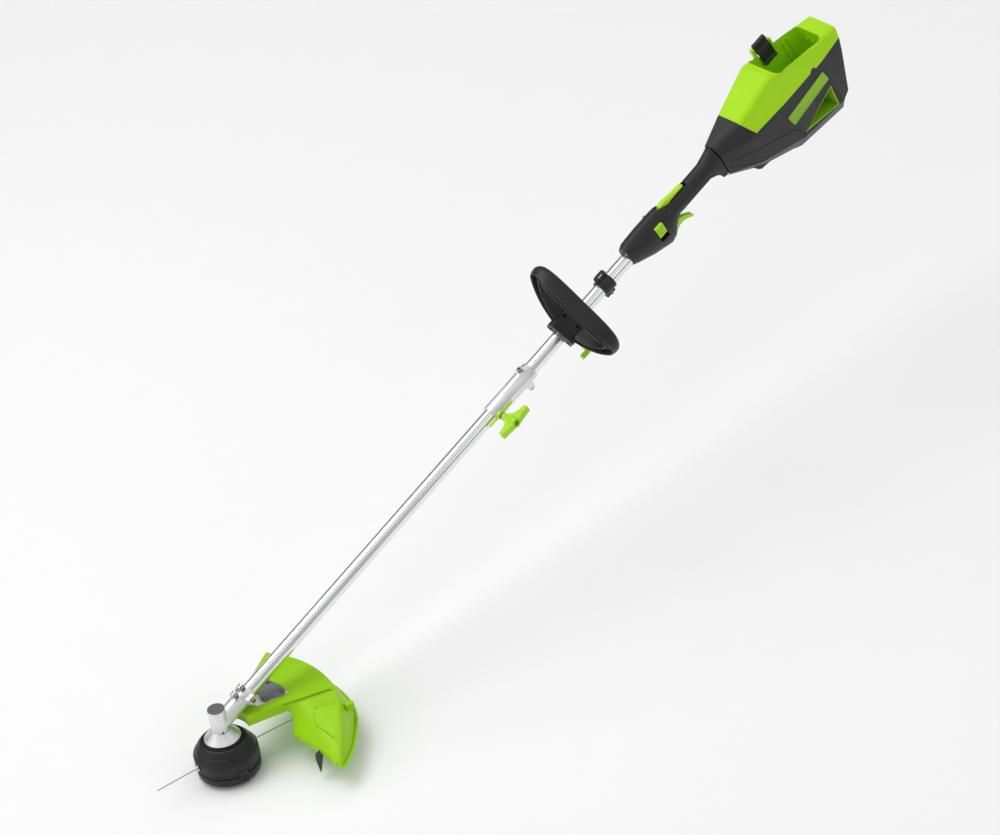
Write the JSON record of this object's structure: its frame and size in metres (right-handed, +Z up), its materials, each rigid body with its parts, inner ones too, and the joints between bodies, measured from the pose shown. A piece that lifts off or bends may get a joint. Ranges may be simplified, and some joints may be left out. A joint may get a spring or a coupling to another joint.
{
  "type": "string trimmer",
  "caption": "Battery string trimmer: split tube boom, loop handle, trigger grip, rear housing with open battery bay, bevel gearbox, bump-feed line head and skirted guard.",
  "frame": {"origin": "centre of the bump knob's flat bottom face, on the axis the line head spins about", "axes": "+Z up along the spin axis; +X level, the way the boom rises towards the rear housing; +Y to the operator's right, the far side of the boom's plane"},
  "size_m": [1.6552, 0.3101, 0.7071],
  "materials": {
    "polished_tube": "polished and clear anodised",
    "cast_silver": "die cast, satin",
    "bearing_plastic": "plain moulded",
    "black_shell": "fine moulded texture",
    "loop_black": "fine moulded texture",
    "spool_black": "semi matte moulded",
    "grip_rubber": "soft overmould",
    "green_shell": "satin moulded",
    "green_lever": "satin moulded",
    "deep_green": "satin moulded",
    "guard_green": "satin moulded",
    "grey_part": "plain moulded",
    "dark_plate": "satin",
    "screw_steel": "zinc plated",
    "bearing_steel": "ground",
    "shaft_steel": "drawn",
    "gear_steel": "cut and hardened",
    "blade_steel": "oiled, dark",
    "spring_steel": "wound wire",
    "copper_winding": "enamelled wire",
    "board": "solder mask",
    "line_green": "drawn nylon"
  },
  "bodies": {
    "rear_unit": {"upper_tube": "polished_tube", "upper_bushes": "bearing_plastic", "hanger_clamp": "black_shell", "hanger_screw": "screw_steel", "coupler_sleeve": "cast_silver", "coupler_bolt": "screw_steel", "coupler_saddle": "green_lever", "handle_near": "black_shell", "handle_far": "black_shell", "grip_panel": "grip_rubber", "case_screws": "screw_steel", "trigger_switch": "grey_part", "housing_near": "black_shell", "housing_far": "black_shell", "bay_shell": "green_shell", "window_frame": "deep_green", "badge_plates": "deep_green", "terminal_block": "grey_part", "control_board": "board", "motor_stator": "copper_winding", "motor_bearings": "bearing_steel", "pivot_pins": "bearing_steel"},
    "battery_latch": {"battery_latch": "black_shell"},
    "trigger": {"trigger": "green_lever"},
    "lock_lever": {"lock_lever": "green_lever"},
    "speed_slider": {"speed_slider": "green_lever"},
    "motor_shaft": {"motor_rotor": "bearing_steel", "cooling_fan": "bearing_plastic", "upper_drive_shaft": "shaft_steel"},
    "loop": {"loop_handle": "loop_black", "loop_clamp": "loop_black", "loop_bolt": "screw_steel"},
    "clamp_lever": {"clamp_lever": "green_lever"},
    "lock_knob": {"t_knob": "green_lever", "knob_stud": "screw_steel"},
    "lower_boom": {"lower_tube": "polished_tube", "lower_bushes": "bearing_plastic", "gearbox_housing": "cast_silver", "gearbox_cap": "grey_part", "dust_cover": "cast_silver", "gearbox_bearings": "bearing_steel", "guard_bracket": "cast_silver", "bracket_plate": "dark_plate", "guard": "guard_green", "cutoff_blade": "blade_steel", "boom_screws": "screw_steel"},
    "detent_button": {"detent_button": "bearing_steel"},
    "lower_drive": {"lower_drive_shaft": "shaft_steel", "pinion_gear": "gear_steel"},
    "spool_head": {"output_shaft": "shaft_steel", "bevel_gear": "gear_steel", "spool_housing": "spool_black", "spool_cover": "spool_black", "eyelets": "bearing_steel", "line_short": "line_green", "line_long": "line_green", "bump_spring": "spring_steel"},
    "bump_unit": {"bump_knob": "spool_black", "inner_spool": "grey_part", "wound_line": "line_green"}
  },
  "joints": [
    {"name": "boom_slide", "type": "slide", "parent": "rear_unit", "child": "lower_boom", "axis": [-0.9367, 0, -0.3502], "range_m": [0, 0.045]},
    {"name": "knob_turn", "type": "hinge", "parent": "rear_unit", "child": "lock_knob", "pos_m": [0.67159, -0.028, 0.3511], "axis": [0, -1, 0], "range_deg": [0, 270]},
    {"name": "detent_press", "type": "slide", "parent": "lower_boom", "child": "detent_button", "axis": [-0.3502, 0, 0.9367], "range_m": [0, 0.003], "stiffness_N_per_m": 600},
    {"name": "loop_slide", "type": "slide", "parent": "rear_unit", "child": "loop", "axis": [0.9367, 0, 0.3502], "range_m": [-0.06, 0.06]},
    {"name": "clamp_turn", "type": "hinge", "parent": "loop", "child": "clamp_lever", "pos_m": [0.87, -0.00182, 0.39438], "axis": [-0.2683, -0.6428, 0.7175], "range_deg": [0, 110]},
    {"name": "trigger_pull", "type": "hinge", "parent": "rear_unit", "child": "trigger", "pos_m": [1.11625, 0, 0.48959], "axis": [0, -1, 0], "range_deg": [0, 9], "stiffness_Nm_per_rad": 0.6},
    {"name": "lock_press", "type": "hinge", "parent": "rear_unit", "child": "lock_lever", "pos_m": [1.10201, 0, 0.52483], "axis": [0, 1, 0], "range_deg": [0, 5], "stiffness_Nm_per_rad": 0.6},
    {"name": "slider_slide", "type": "slide", "parent": "rear_unit", "child": "speed_slider", "axis": [0.3502, 0, -0.9367], "range_m": [0, 0.009]},
    {"name": "latch_press", "type": "hinge", "parent": "rear_unit", "child": "battery_latch", "pos_m": [1.40343, 0.041, 0.68664], "axis": [0.9367, 0, 0.3502], "range_deg": [0, 4.5], "stiffness_Nm_per_rad": 0.5},
    {"name": "head_spin", "type": "hinge", "parent": "lower_boom", "child": "spool_head", "pos_m": [0, 0, 0], "axis": [0, 0, 1], "continuous": true},
    {"name": "lower_drive_spin", "type": "hinge", "parent": "lower_boom", "child": "lower_drive", "pos_m": [0.37467, 0, 0.24008], "axis": [0.9367, 0, 0.3502], "continuous": true},
    {"name": "motor_spin", "type": "hinge", "parent": "rear_unit", "child": "motor_shaft", "pos_m": [1.28511, 0, 0.58048], "axis": [0.9367, 0, 0.3502], "continuous": true},
    {"name": "bump_press", "type": "slide", "parent": "spool_head", "child": "bump_unit", "axis": [0, 0, 1], "range_m": [0, 0.005], "stiffness_N_per_m": 1500, "deforming": ["bump_spring"]}
  ],
  "couplings": [
    {"joint": "lower_drive_spin", "follows": "head_spin", "ratio": -1.3},
    {"joint": "motor_spin", "follows": "head_spin", "ratio": -1.3}
  ]
}
